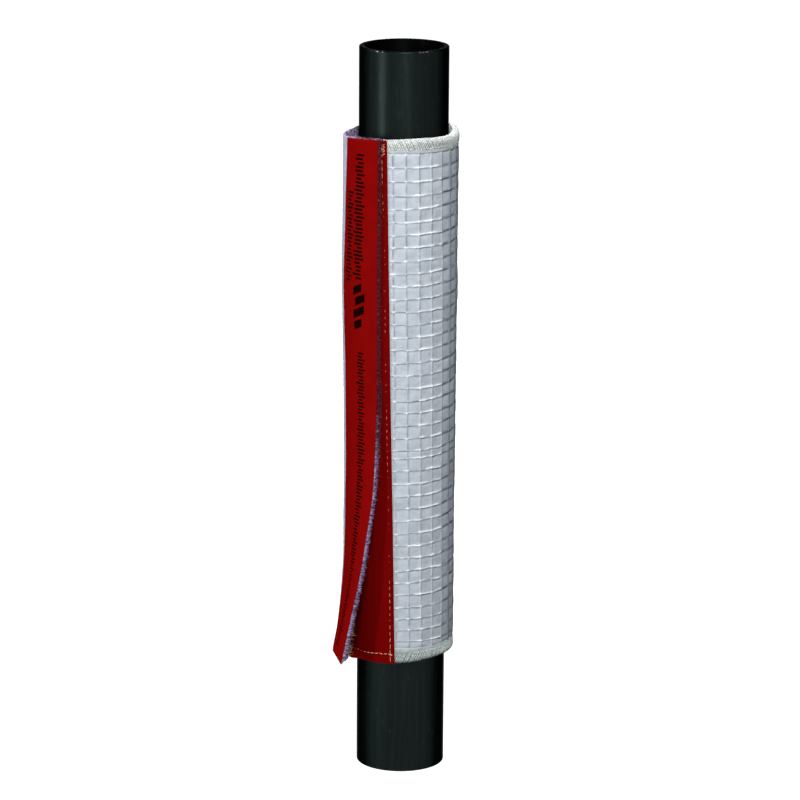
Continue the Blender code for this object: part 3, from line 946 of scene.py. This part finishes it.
def make_overlock(upper):
    """Overlock thread over one end: a slanted loop for each stitch, and a row of needle stitches under it."""
    radius = end_radius(upper)
    depth, inward, reach = along_path(*hem_path(radius), 60)
    first = HEM_HEIGHT - NEEDLE_LINE
    last = reach[np.argmin(inward)] + 0.0014
    at = np.linspace(first, last, 10)
    path_depth = np.interp(at, reach, depth)
    path_inward = np.interp(at, reach, inward)
    angle = -(at - first) / radius * STITCH_SLANT
    drawn_in = 0.00030 * np.cos(np.linspace(0, math.pi, len(at))) ** 8
    points = on_wrap(radius - path_depth + 0.00004 - drawn_in, angle, end_height(upper, path_inward))
    points[:, 2] += (1.0 if upper else -1.0) * 0.00012 * fade(path_inward, 0.0045, 0.004)
    loop = thread_pattern("loop", points, LOOP_THREAD)
    start = thread_angle(SLIT_PHASE, end_height(upper, 0.0)) + 0.02
    turns = start + np.arange(STITCHES_AROUND - 2) * math.tau / STITCHES_AROUND
    turns = turns + rng.normal(0.0, 0.0045, len(turns))
    lifts = rng.normal(0.0, 0.00008, len(turns)) + hem_wave(upper, turns, 0.002)
    name = end_name(upper, "overlock")
    loops = joined_copies(loop, name, [round_axis(turn, lift) for turn, lift in zip(turns, lifts)])
    places = []
    for turn in turns:
        wave = float(hem_wave(upper, turn, NEEDLE_LINE))
        z = float(end_height(upper, NEEDLE_LINE)) + wave + rng.normal(0.0, 0.00010)
        along = (math.cos(turn), math.sin(turn), 0.0)
        point = on_wrap(radius - HEM_DEPTH - 0.00012, turn, z)
        places.append(placing(point, along, outward(turn), *NEEDLE_STITCH))
    needle = joined_copies(stitch_pattern(), name + "_needle", places)
    for piece in (loops, needle):
        shade_smooth(piece, 80)
        write_attribute(piece, "fleecy", fleecy_share(read_vectors(piece, "co")))
        finish_piece(piece, HEM_THREAD[upper])
    return [loops, needle]


def make_sewn_end(upper):
    hem = make_hem(upper)
    threads = make_overlock(upper)


# Closure strip and its seams

def strip_width(z):
    return (strip_right(z) - thread_angle(STRIP_LEFT_PHASE, z)) * sleeve_radius(z)


def strip_surface(share, z):
    """Points on the strip's outer face, and their angles. share is 0 at its left edge and 1 at its right."""
    left = thread_angle(STRIP_LEFT_PHASE, z)
    right = strip_right(z)
    angle = left + (right - left) * share
    radius = wrap_radius(angle, z)
    from_right = (right - angle) * radius
    pull = 0.5 + 0.5 * np.cos(z / STRIP_SEAM_PITCH * math.tau)
    seam = 0.00016 * hump(from_right, STRIP_SEAM_INSET, 0.00075) * (0.7 + 0.6 * pull)
    cross = 0.00014 * hump(z, CROSS_SEAM_HEIGHT, 0.0008)
    wave = 0.00012 * uneven(angle / 0.16, z / 0.022, 41)
    folded = 0.00010 * hump(from_right, 0.0009, 0.0010)
    round_off = 0.00030 * np.clip(1.0 - from_right / 0.00045, 0.0, 1.0) ** 2
    lift = STRIP_LIFT + wave + folded - seam - cross - round_off
    droop = STRIP_DROOP * fade(share, 0.45, 0.35) * fade(z, STRIP_BOTTOM + 0.016, 0.016)
    tuck = STRIP_TUCK * fade(share, 0.62, 0.25) * rise(z, STRIP_TOP - 0.016, 0.016)
    return on_wrap(radius + lift, angle, z - droop - tuck), angle


def make_strip():
    rows = np.linspace(STRIP_BOTTOM, STRIP_TOP, 361)
    flat_part, seam_part = np.linspace(0.0, 0.88, 36), np.linspace(0.89, 1.0, 14)
    share, z = np.meshgrid(np.concatenate([flat_part, seam_part]), rows)
    strip = sheet_piece("closure_strip_film", strip_surface(share, z)[0])
    thicken(strip, STRIP_WALL)
    shade_smooth(strip, 60)
    return finish_piece(strip, strip_film(), ["closure_strip"])


def seam_places(line, pitch, slip, weight=None):
    """Stitch places along a line of surface points with outward directions, pitch apart.

    weight gives how thick and proud the thread lies at a point, where 1 is even. A thread of less weight is
    drawn down into the film.
    """
    points = np.array([place[0] for place in line])
    outs = np.array([place[1] for place in line])
    reach = running_sum(np.linalg.norm(np.diff(points, axis=0), axis=1))

    def between(values, at):
        return np.array([np.interp(at, reach, values[:, axis]) for axis in range(3)])

    found = []
    for middle in np.arange(pitch / 2, reach[-1], pitch):
        first, last = (between(points, middle + side * pitch * 0.44) for side in (-1, 1))
        out = between(outs, middle)
        out = out / np.linalg.norm(out)
        side = np.cross(out, last - first)
        side = side / np.linalg.norm(side)
        along = last - first + side * rng.normal(0.0, slip)
        centre = (first + last) / 2
        share = float(weight(centre)) if weight else 1.0
        length = float(np.linalg.norm(along)) * rng.uniform(0.80, 1.10) * (0.78 + 0.30 * min(share, 1.1))
        thickness = SEAM_THREAD_WIDTH * rng.uniform(0.60, 1.10) * (0.22 + 0.70 * min(share, 1.15))
        sunk = 0.00008 + 0.00012 * (1.0 - min(share, 1.0))
        found.append(placing(centre - out * sunk, along, out, length, thickness))
    return found


def sew(name, places):
    """Stitches of seam thread at these places, as one piece."""
    seams = joined_copies(stitch_pattern(), name, places)
    shade_smooth(seams, 80)
    return finish_piece(seams, SEAM_THREAD)


def strip_line(places):
    """Surface points and outward directions on the strip at these shares and heights."""
    line = []
    for share, z in places:
        point, angle = strip_surface(np.array(share), np.array(z))
        line.append((point, outward(float(angle))))
    return line


def short_stitch(z, inset, width, lean):
    """One stitch across the strip's right seam, this far from the strip's edge, rising by lean."""
    across = float(strip_width(z))
    line = strip_line([(1.0 - (inset - width * shift) / across, z + lean * shift) for shift in (-0.5, 0.5)])
    reach = float(np.linalg.norm(line[1][0] - line[0][0]))
    return seam_places(line, reach * 0.999, 0.0001)


def make_strip_seams():
    """The seam that holds the strip's right edge, the cross seam at its foot, and the bar tack at its top."""
    def seam_share(z):
        drift = 0.00035 * float(uneven(np.array(z / 0.045), np.array(0.5), 51))
        drift = drift + 0.0008 * float(rise(z, 0.380, 0.030))
        return 1.0 - (STRIP_SEAM_INSET + drift) / float(strip_width(z))

    def tension(point):
        """The thread shows most near both ends. In the middle of the sleeve's length it is drawn tight."""
        z = point[2]
        lower = 0.45 * fade(z, 0.150, 0.030) + fade(z, 0.104, 0.012)
        return max(0.14 + 0.66 * rise(z, 0.407, 0.012) + lower + 0.30 * uneven(z / 0.011, 0.5, 52), 0.0)

    def cross_tension(point):
        phase = thread_phase(angle_at(point[0], point[1]), point[2])
        return 0.60 + 0.80 * rise(phase - STRIP_LEFT_PHASE, 1.6, 3.2)

    heights = np.arange(STRIP_BOTTOM + 0.0008, STRIP_TOP - 0.004, 0.001)
    down_strip = strip_line([(seam_share(z), z) for z in heights])
    places = seam_places(down_strip, STRIP_SEAM_PITCH, 0.00030, tension)
    shares = np.linspace(0.04, 0.995, 60)
    cross = strip_line([(share, CROSS_SEAM_HEIGHT + 0.0005 * math.sin(share * 9.0)) for share in shares])
    places += seam_places(cross, CROSS_SEAM_PITCH, 0.00035, cross_tension)
    for step in range(TACK_STITCHES):
        z = STRIP_TOP - 0.0030 - TACK_PITCH * step
        places += short_stitch(z, STRIP_SEAM_INSET - 0.0004, 0.0022, TACK_PITCH * (-1) ** step)
    for lean, width in ((0.0004, 0.0038), (-0.0014, 0.0022)):
        places += short_stitch(CROSS_SEAM_HEIGHT, STRIP_SEAM_INSET - 0.0003, width, lean)
    return sew("strip_seams", places)


# Flap

def flap_width(z):
    return (float(sleeve_radius(z)) + FLAP_LIFT) * (FLAP_EDGE - FLAP_HINGE)


def flap_section(z):
    """x, y, direction and looseness at even steps from the hinge along the flap's section at one height."""
    radius = float(sleeve_radius(z)) + FLAP_LIFT
    width = flap_width(z)
    opened = min(max((FLAP_OPENS_AT - z) / (FLAP_OPENS_AT - SLEEVE_BOTTOM), 0.0), 1.0)
    peeled = FLAP_PEEL * opened ** FLAP_PEEL_POWER
    step = width / FLAP_STEPS
    past_peel = (np.arange(FLAP_STEPS) + 0.5) * step - (width - peeled)
    loose = smoothstep(past_peel / FLAP_PEEL_BLEND + 0.5) * min(peeled / (FLAP_PEEL_BLEND / 2), 1.0)
    turn = step * ((1.0 - loose) / radius + loose / FLAP_OPEN_RADIUS)
    direction = FLAP_HINGE + running_sum(turn)
    middle = (direction[1:] + direction[:-1]) / 2
    start = on_wrap(radius, FLAP_HINGE, z)
    x = start[0] + running_sum(step * np.cos(middle))
    y = start[1] + running_sum(step * np.sin(middle))
    return x, y, direction, np.concatenate([[0.0], loose])


def flap_surface(shares, heights, lift):
    """Points above the flap's outer face, rows by columns, and how far each is peeled open, from 0 to 1.

    shares has one row for each height. The flap's top sinks towards the hinge and sits a little high at its
    free corner, and its foot hangs in a flatter curve than an even arc and is cut askew.
    """
    even = np.linspace(0.0, 1.0, FLAP_STEPS + 1)
    points = np.zeros((*shares.shape, 3))
    peeled = np.zeros(shares.shape)
    for index, z in enumerate(heights):
        share = shares[index]
        x, y, direction, loose = flap_section(z)
        angle = np.interp(share, even, direction)
        free = np.interp(share, even, loose)
        base_x, base_y = np.interp(share, even, x), np.interp(share, even, y)

        sewn = FLAP_SEWN_DEPTH * (1.0 - rise(share, FLAP_SEWN_SHARE, FLAP_SEWN_FADE))
        out = lift - sewn + swell(angle_at(base_x, base_y), z) * (1.0 - free)
        out = out + 0.00025 * uneven(share * 3.0, z / 0.030, 61) * (0.3 + 0.7 * free)

        hang = 0.0020 * hump(z, 0.140, 0.038) - 0.0010 * fade(z, 0.102, 0.020)
        held_in = 0.0013 * hump(z, 0.200, 0.030) + 0.0006 * hump(z, 0.145, 0.040)
        shift = hang * hump(share, 0.68, 0.20) + held_in * rise(share, 0.60, 0.40)

        near_top = rise(z, FLAP_TOP - 0.030, 0.030)
        corner = CORNER_RISE * rise(share, 0.55, 0.45) * near_top
        slump = TOP_SLUMP * fade(share, 0.80, 0.50) * near_top
        cut = FOOT_CUT * np.sin(np.clip((1.0 - share) / 0.22, 0.0, 1.0) * math.pi / 2)
        cut = (cut - 0.0012 * fade(share, 0.74, 0.10)) * fade(z, FLAP_BOTTOM + 0.020, 0.020)

        points[index, :, 0] = base_x + out * np.sin(angle) + shift
        points[index, :, 1] = base_y - out * np.cos(angle)
        points[index, :, 2] = z + corner + cut - slump
        peeled[index] = free
    return points, peeled


def fluff_out(fleece, points, peeled, shares, heights):
    """Moves the fleece's inner face past the film's edge where the flap hangs open, and up at its foot."""
    sideways = np.gradient(points, axis=1)
    sideways = sideways / np.linalg.norm(sideways, axis=2, keepdims=True)
    flare = (0.0007 * peeled - 0.0002) * rise(shares, 0.93, 0.07)
    inner = sideways * flare[:, :, None]
    inner[:, :, 2] += 0.0045 * fade(heights, FLAP_BOTTOM + 0.012, 0.012)[:, None] * rise(shares, 0.75, 0.25)
    places = read_vectors(fleece, "co")
    places[shares.size:] += inner.reshape(-1, 3)
    fleece.data.vertices.foreach_set("co", places.astype(np.float32).ravel())


def fleece_shade(peeled, shares, heights):
    """How dark the fleece lies in its own shade, on its outer face and then on its inner face.

    It is light where the flap hangs open and along its top, most of all towards the hinge.
    """
    shaded_from, lit_from = SHADED_EDGE
    heights = heights[:, None]
    opened = fade(heights, shaded_from, shaded_from - lit_from)
    near_top = rise(heights, FLAP_TOP - 0.0020, 0.0015) * (0.85 - 0.65 * rise(shares, 0.6, 0.3))
    shade = (1.0 - opened * np.clip(peeled * 1.25, 0.0, 1.0)) * (1.0 - near_top)
    inside_top = rise(heights, FLAP_TOP - 0.0055, 0.0030) * fade(shares, 0.85, 0.2)
    return np.clip(np.concatenate([shade.ravel(), (shade + 0.85 - inside_top).ravel()]), 0.0, 1.0)


def keep_outer_face(fleece):
    """Keeps the pale pressed colour to the faces that look away from the pipe, and off the top edge."""
    normals, places = read_vectors(fleece, "normal"), read_vectors(fleece, "co")
    away = np.stack([places[:, 0] - AXIS_X, places[:, 1] - AXIS_Y], axis=1)
    facing = (normals[:, 0] * away[:, 0] + normals[:, 1] * away[:, 1]) / np.hypot(away[:, 0], away[:, 1])
    outside = np.zeros(len(fleece.data.vertices), np.float32)
    fleece.data.attributes["outside"].data.foreach_get("value", outside)
    outside = outside * rise(facing, 0.35, 0.3) * fade(places[:, 2], FLAP_TOP - 0.0004, 0.001)
    fleece.data.attributes["outside"].data.foreach_set("value", outside.astype(np.float32))


def make_flap_fleece():
    """The flap's fleece. It is pressed thin under the film and fluffs out where the flap hangs loose."""
    rows, columns = 351, 77
    heights = np.linspace(FLAP_BOTTOM, FLAP_TOP, rows)
    shares = np.broadcast_to(np.linspace(0.0, 1.0, columns), (rows, columns))
    points, peeled = flap_surface(shares, heights, 0.0)
    fleece = sheet_piece("flap_fleece_layer", points)
    write_attribute(fleece, "outside", fade(shares, FILM_START + 0.10, 0.08).ravel())
    to_edge = rise(shares, 0.75, 0.25)
    to_foot = fade(heights, FLAP_BOTTOM + 0.016, 0.016)[:, None]
    fluffed = FLAP_WALL + peeled * (0.0004 + 0.0004 * to_edge + 0.0018 * to_foot * to_edge)
    thicken(fleece, FLEECE_MOST, fluffed / FLEECE_MOST)
    fluff_out(fleece, points, peeled, shares, heights)
    write_attribute(fleece, "shade", fleece_shade(peeled, shares, heights))
    round_edges(fleece, 0.0007, 3)
    tufts = bpy.data.textures.new("tufts", "CLOUDS")
    tufts.noise_scale = 0.0016
    tufts.noise_depth = 2
    apply_modifier(fleece, "DISPLACE", texture=tufts, strength=0.0007, mid_level=0.5, texture_coords="LOCAL")
    shade_smooth(fleece, 80)
    keep_outer_face(fleece)
    return finish_piece(fleece, FLEECE, ["flap_fleece"])


def make_flap_film():
    """The printed film over the free part of the flap. Its left border runs in a slight curve."""
    heights = np.linspace(FLAP_BOTTOM - 0.0004, FILM_TOP + 0.0001, 301)
    curved = np.interp(heights, [0.28, 0.34, 0.37, 0.40, 0.436], [0.0, -0.014, 0.009, 0.018, 0.048])
    first = FILM_START + curved
    last = np.interp(heights, [0.20, 0.26], [0.998, 0.977])
    across = np.linspace(0.0, 1.0, 45)
    shares = first[:, None] * (1.0 - across) + last[:, None] * across
    film = sheet_piece("flap_film_layer", flap_surface(shares, heights, FILM_LIFT)[0])
    thicken(film, FILM_WALL)
    round_edges(film, 0.00008, 1)
    shade_smooth(film, 50)
    width = flap_width(MIDDLE_HEIGHT) * float(np.ptp(shares, axis=1).mean())
    length = float(heights[-1] - heights[0])
    finish_piece(film, flap_film_finish(width, length), ["flap_film"])


def make_hinge_seams():
    """Two rows of stitches that hold the flap's back edge to the foil."""
    places = []
    heights = np.arange(FLAP_BOTTOM + 0.002, FLAP_TOP - 0.002, 0.0015)
    for share in HINGE_SEAM_SHARES:
        points, _ = flap_surface(np.full((len(heights), 1), share), heights, 0.0)
        out = outward(FLAP_HINGE + share * (FLAP_EDGE - FLAP_HINGE))
        places += seam_places([(point, out) for point in points[:, 0]], HINGE_SEAM_PITCH, 0.0002)
    return sew("hinge_seams", places)


def fibre_pattern():
    """One loose fibre of unit length along X: a thin cone, subdivided and bent."""
    bpy.ops.mesh.primitive_cone_add(
        vertices=3, radius1=0.5, radius2=0.12, depth=1.0, rotation=(0, math.pi / 2, 0))
    fibre = settle(bpy.context.active_object)
    edit_all(fibre)
    bpy.ops.mesh.subdivide(number_cuts=2)
    leave_edit()
    for vertex in fibre.data.vertices:
        reach = vertex.co.x + 0.5
        vertex.co.x = reach
        vertex.co.z += 6.0 * (reach * reach - 0.6 * reach)
    return fibre


def fibre_shade(z):
    """Fibres lie in the flap's shadow where it is closed, and catch the light where it hangs open."""
    shaded_from, lit_from = SHADED_EDGE
    return 0.95 - 0.85 * fade(z, shaded_from, shaded_from - lit_from)


def make_fibres(name, fleece, count, length, thickness, wanted, material):
    """Loose fibres that stand out of the fleece where its faces pass the test."""
    faces = [face for face in fleece.data.polygons if wanted(face.center, face.normal)]
    places = []
    for index in rng.choice(len(faces), size=min(count, len(faces)), replace=False):
        face = faces[index]
        along = face.normal + Vector(rng.normal(0.0, 0.55, 3))
        out = Vector(rng.normal(0.0, 1.0, 3))
        reach = length * rng.uniform(0.5, 1.3)
        root = face.center - face.normal * 0.0002
        places.append(placing(root, along, out, reach, thickness * rng.uniform(0.7, 1.3)))
    fibres = joined_copies(fibre_pattern(), name, places)
    write_attribute(fibres, "shade", fibre_shade(read_vectors(fibres, "co")[:, 2]))
    return finish_piece(fibres, material)


def make_flap_fibres(fleece):
    def facing(centre, normal):
        return normal.dot(Vector((centre.x - AXIS_X, centre.y - AXIS_Y, 0.0)).normalized())

    def free_side(centre, normal):
        cut = abs(facing(centre, normal)) < 0.6 and centre.z > FLAP_BOTTOM + 0.001
        return cut and normal.z < 0.5 and normal.x > 0.2

    def lower_end(centre, normal):
        return normal.z < -0.5

    def upper_end(centre, normal):
        return normal.z > 0.5

    def frayed_backing(centre, normal):
        return -0.95 < facing(centre, normal) < 0.2 and normal.x > -0.1 and centre.z < FLAP_BOTTOM + 0.030

    side = make_fibres("edge_fibres", fleece, 1100, 0.0016, 0.00022, free_side, FLEECE)
    foot = make_fibres("foot_fibres", fleece, 260, 0.0018, 0.00020, lower_end, FLEECE)
    head = make_fibres("head_fibres", fleece, 260, 0.0009, 0.00018, upper_end, FLEECE)
    backing = make_fibres("backing_fibres", fleece, 520, 0.0030, 0.00034, frayed_backing, BACKING_THREAD)
    return [side, foot, head, backing]


# Studio

def look_from(location, target):
    return (Vector(target) - Vector(location)).to_track_quat("-Z", "Y").to_euler()


def add_lamp(name, azimuth, elevation, distance, size, power, colour=WHITE):
    """A softbox round the object. Azimuth 0 is the photo's side, and positive is to its right."""
    target = Vector((AXIS_X, AXIS_Y, (SLEEVE_BOTTOM + SLEEVE_TOP) / 2))
    azimuth, elevation = math.radians(azimuth), math.radians(elevation)
    level = math.cos(elevation)
    away = Vector((math.sin(azimuth) * level, -math.cos(azimuth) * level, math.sin(elevation)))
    light = bpy.data.lights.new(name, "AREA")
    light.shape = "RECTANGLE"
    light.size, light.size_y = size
    light.energy = power
    light.color = colour
    lamp = bpy.data.objects.new(name, light)
    lamp.location = target + away * distance
    lamp.rotation_euler = look_from(lamp.location, target)
    bpy.context.scene.collection.objects.link(lamp)


def seen_directly(tree):
    """1 for camera, glossy and transmission rays, which see the white background, and 0 for the rest."""
    path = add_node(tree, "LightPath").node.outputs
    glossy = add_node(tree, "Math", [path["Is Camera Ray"], path["Is Glossy Ray"]], operation="MAXIMUM")
    return add_node(tree, "Math", [glossy, path["Is Transmission Ray"]], operation="MAXIMUM")


def make_world():
    """Plain surroundings, dim where they light the object and white where they are seen."""
    world = bpy.data.worlds.new("studio")
    bpy.context.scene.world = world
    world.use_nodes = True
    tree = world.node_tree
    background = tree.nodes["Background"]
    background.inputs["Color"].default_value = (*WHITE, 1.0)
    strength = add_node(tree, "Mix", {0: seen_directly(tree), 2: AMBIENT, 3: 1.0}, data_type="FLOAT")
    tree.links.new(strength, background.inputs["Strength"])


def make_floor():
    """White floor, lifted to white where it is seen, a little less near the object. It keeps shadows."""
    bpy.ops.mesh.primitive_plane_add(size=FLOOR_SIZE, location=(0.0, 0.0, -0.0002))
    floor = bpy.context.active_object
    floor.name = "floor"
    material = bpy.data.materials.new("white_floor")
    material.use_nodes = True
    tree = material.node_tree
    tree.nodes.remove(tree.nodes["Principled BSDF"])
    bounce = add_node(tree, "BsdfDiffuse", {"Color": (0.05, 0.05, 0.05, 1.0)})
    seen = add_node(tree, "BsdfDiffuse", {"Color": (0.30, 0.30, 0.30, 1.0)})
    place = add_node(tree, "TexCoord", output="Object")
    away = add_node(tree, "VectorMath", [place], "Value", operation="LENGTH")
    level = add_node(tree, "MapRange", [away, 0.4, 1.6, 0.92, 1.0])
    glow = add_node(tree, "Emission", {"Color": (*WHITE, 1.0), "Strength": level})
    lifted = add_node(tree, "AddShader", [seen, glow])
    shader = add_node(tree, "MixShader", [seen_directly(tree), bounce, lifted])
    tree.links.new(shader, tree.nodes["Material Output"].inputs["Surface"])
    floor.data.materials.append(material)


def make_camera():
    """The photo's camera, fitted to the pipe's outline and to the ellipses of both its ends."""
    distance, height = 2.62795, 0.92131
    pitch, yaw, roll = math.radians(14.198), math.radians(-0.0304), math.radians(0.354)
    data = bpy.data.cameras.new("camera")
    data.sensor_width = 36.0
    data.lens = 179.27
    data.clip_start, data.clip_end = 0.1, 60.0
    camera = bpy.data.objects.new("camera", data)
    turn = Euler((math.pi / 2 - pitch, 0.0, -yaw)).to_matrix() @ Matrix.Rotation(roll, 3, "Z")
    camera.rotation_euler = turn.to_euler()
    camera.location = (AXIS_X, AXIS_Y - distance, height)
    bpy.context.scene.collection.objects.link(camera)
    bpy.context.scene.camera = camera


deselect_all()
FLEECE = needled_fleece()
# The lower end's yarn and cloth are darker copies of the upper end's: painted shade where that end rounds
# under.
HEM_THREAD = {True: hem_cloth("upper_overlock_yarn", "#eceeed", "#b0b8b6"),
              False: hem_cloth("lower_overlock_yarn_shaded", "#d3dbd8", "#98a3a0")}
# Painted shade: the cloth under the loops is drawn darker than their thread and than the bare laminate.
HEM_CLOTH = {True: hem_cloth("upper_hem_cloth", "#a4acab", "#808988"),
             False: hem_cloth("lower_hem_cloth_shaded", "#8d9a97", "#6f7c79")}
SEAM_THREAD = sewing_thread("seam_thread", "#f7c69c", "#db8d62")
BACKING_THREAD = sewing_thread("backing_thread", "#b3aa7b", "#54401f")

make_camera()
make_pipe()
make_mat()
make_foil()
make_sewn_end(True)
make_sewn_end(False)
strip_piece = make_strip()
strip_seams = make_strip_seams()
fleece_piece = make_flap_fleece()
hinge_seams = make_hinge_seams()
flap_fibres = make_flap_fibres(fleece_piece)
make_flap_film()

make_floor()
make_world()
add_lamp("key_light", 5, 50, 2.4, (0.6, 0.6), 75.0)
add_lamp("left_light", -57, 1, 2.2, (0.16, 1.0), 23.0)
add_lamp("far_left_light", -98, 42, 2.2, (0.5, 0.5), 26.0)
add_lamp("right_light", 62, 5, 2.2, (0.10, 1.0), 0.6, (0.55, 0.80, 1.0))
add_lamp("back_light", 176, 48, 2.4, (0.6, 0.6), 45.0)
bpy.context.scene.view_settings.view_transform = "Standard"
